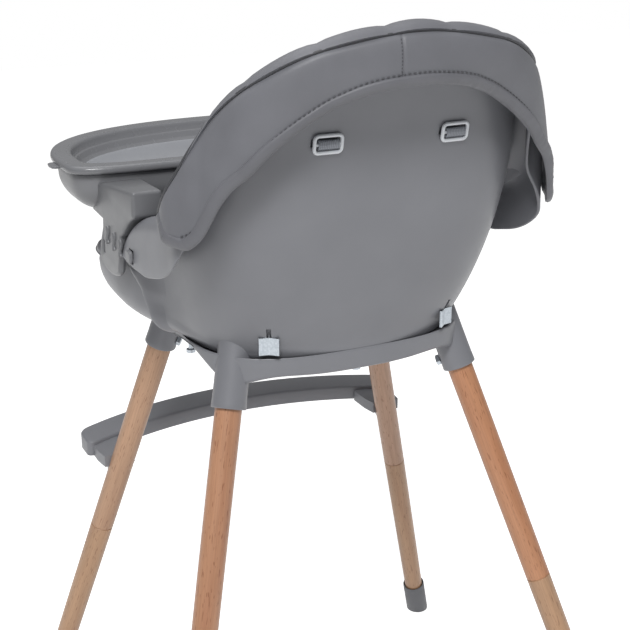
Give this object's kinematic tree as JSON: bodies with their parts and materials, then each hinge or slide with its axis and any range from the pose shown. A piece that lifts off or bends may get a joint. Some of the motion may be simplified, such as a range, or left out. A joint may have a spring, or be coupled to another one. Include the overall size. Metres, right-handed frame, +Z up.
{
  "type": "baby high chair",
  "caption": "Child's feeding chair with a bucket seat, quilted leather-look liner, harness, sliding tray with lift-out insert, footrest and splayed beech legs.",
  "frame": {"origin": "centre of the chair's footprint, on the floor", "axes": "+Z up, the seat faces -Y, +X is the seated child's left"},
  "size_m": [0.6266, 0.6165, 0.9554],
  "materials": {
    "grey_plastic": "satin moulded",
    "tray_plastic": "glossy moulded",
    "grey_leather": "fine grain",
    "beech": "clear satin lacquer",
    "cap_rubber": "matte",
    "zinc": "zinc plated",
    "webbing": "woven",
    "white_plastic": "satin",
    "dark_plastic": "satin",
    "release_plastic": "satin"
  },
  "bodies": {
    "chair": {"base_frame": "grey_plastic", "buckle_body": "dark_plastic", "buckle_tongue_left": "dark_plastic", "buckle_tongue_right": "dark_plastic", "crotch_anchor": "dark_plastic", "crotch_strap": "webbing", "foot_cap_front_left": "cap_rubber", "foot_cap_front_right": "cap_rubber", "foot_cap_rear_left": "cap_rubber", "foot_cap_rear_right": "cap_rubber", "footrest": "grey_plastic", "lap_anchor_left": "zinc", "lap_anchor_right": "zinc", "lap_strap_left": "webbing", "lap_strap_right": "webbing", "leg_screws": "zinc", "leg_studs": "zinc", "lower_leg_front_left": "beech", "lower_leg_front_right": "beech", "lower_leg_rear_left": "beech", "lower_leg_rear_right": "beech", "rim_flap": "grey_leather", "seat_liner": "grey_leather", "seat_screws": "zinc", "seat_shell": "grey_plastic", "shoulder_strap_left": "webbing", "shoulder_strap_right": "webbing", "strap_slide_left": "white_plastic", "strap_slide_right": "white_plastic", "upper_leg_front_left": "beech", "upper_leg_front_right": "beech", "upper_leg_rear_left": "beech", "upper_leg_rear_right": "beech"},
    "tray": {"tray_base": "grey_plastic"},
    "insert": {"tray_insert": "tray_plastic"},
    "left_button": {"tray_button_left": "grey_plastic"},
    "right_button": {"tray_button_right": "grey_plastic"},
    "buckle_release": {"buckle_button": "release_plastic"}
  },
  "joints": [
    {"name": "tray_slide", "type": "slide", "parent": "chair", "child": "tray", "axis": [0, -1, 0], "range_m": [0, 0.06]},
    {"name": "insert_lift", "type": "slide", "parent": "tray", "child": "insert", "axis": [0, 0, 1], "range_m": [0, 0.08]},
    {"name": "left_button_push", "type": "slide", "parent": "chair", "child": "left_button", "axis": [-1, 0, 0], "range_m": [0, 0.003], "stiffness_N_per_m": 400, "springref_m": -0.001},
    {"name": "right_button_push", "type": "slide", "parent": "chair", "child": "right_button", "axis": [1, 0, 0], "range_m": [0, 0.003], "stiffness_N_per_m": 400, "springref_m": -0.001},
    {"name": "buckle_release_push", "type": "slide", "parent": "chair", "child": "buckle_release", "axis": [0, 0, -1], "range_m": [0, 0.002], "stiffness_N_per_m": 400, "springref_m": -0.002}
  ]
}
